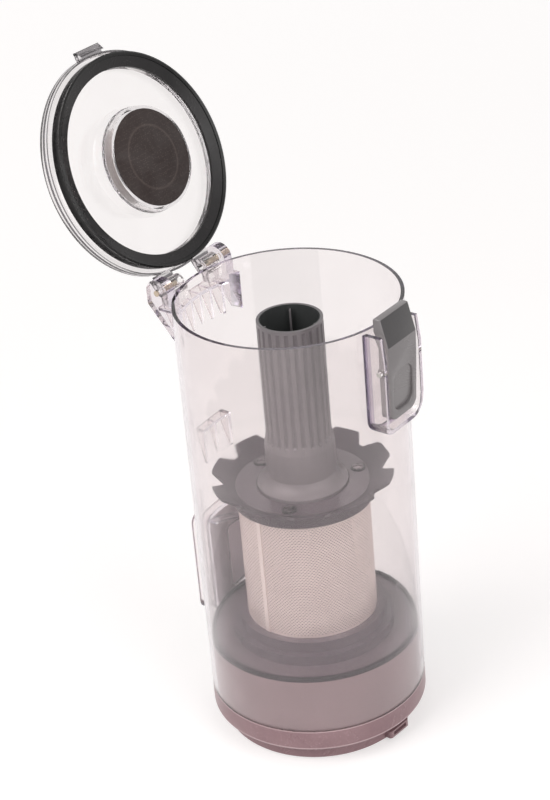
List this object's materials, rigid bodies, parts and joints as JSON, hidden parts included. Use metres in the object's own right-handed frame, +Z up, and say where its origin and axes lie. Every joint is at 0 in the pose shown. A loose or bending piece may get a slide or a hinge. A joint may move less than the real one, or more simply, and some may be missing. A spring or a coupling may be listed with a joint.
{
  "type": "cyclone dust bin",
  "caption": "Clear cylindrical dust bin of a stick vacuum: hinged sealed lid with a sprung latch, fluted dust tube, toothed skirt, metal screen and a ring-shaped machine end.",
  "frame": {"origin": "on the bin's axis at the bottom of the spigot, in the mouth of the machine socket", "axes": "+Z up along the bin's axis towards the lid end, +Y towards the lid hinge and the inlet, -Y towards the latch"},
  "size_m": [0.108, 0.1734, 0.3348],
  "materials": {
    "clear_plastic": "clear, slightly smoky, polished",
    "lid_clear": "clear, polished",
    "mauve_plastic": "satin, fine metallic",
    "band_grey": "satin",
    "skirt_grey": "satin",
    "plate_grey": "semi-gloss",
    "tube_grey": "satin",
    "inner_plastic": "satin",
    "lever_grey": "satin",
    "screen_steel": "fine woven mesh",
    "black_rubber": "satin",
    "inlet_rubber": "matte",
    "pad_foam": "matte, fine dots",
    "steel": "plain"
  },
  "bodies": {
    "bin": {"bin_body": "clear_plastic", "base_ring": "mauve_plastic", "cyclone_base": "band_grey", "base_seal": "black_rubber", "mesh_screen": "screen_steel", "mesh_frame": "inner_plastic", "cyclone_cones": "inner_plastic", "outlet_plate": "inner_plastic", "outlet_seal": "black_rubber", "skirt": "skirt_grey", "clamp_plate": "plate_grey", "plate_screws": "steel", "outlet_screws": "steel", "cone_gasket": "black_rubber", "dust_tube": "tube_grey", "hinge_pin": "steel", "inlet_flap": "inlet_rubber", "latch_pin": "steel", "latch_spring": "steel"},
    "lid": {"lid_shell": "lid_clear", "lid_gasket": "black_rubber", "lid_pad": "pad_foam"},
    "latch": {"latch_lever": "lever_grey"}
  },
  "joints": [
    {"name": "lid_hinge", "type": "hinge", "parent": "bin", "child": "lid", "pos_m": [0, 0.0583, 0.229], "axis": [1, 0, 0], "range_deg": [0, 113.75]},
    {"name": "latch_pivot", "type": "hinge", "parent": "bin", "child": "latch", "pos_m": [0, -0.0598, 0.2105], "axis": [1, 0, 0], "range_deg": [0, 8], "stiffness_Nm_per_rad": 0.3, "springref_deg": -14.9, "deforming": ["latch_spring"]}
  ]
}
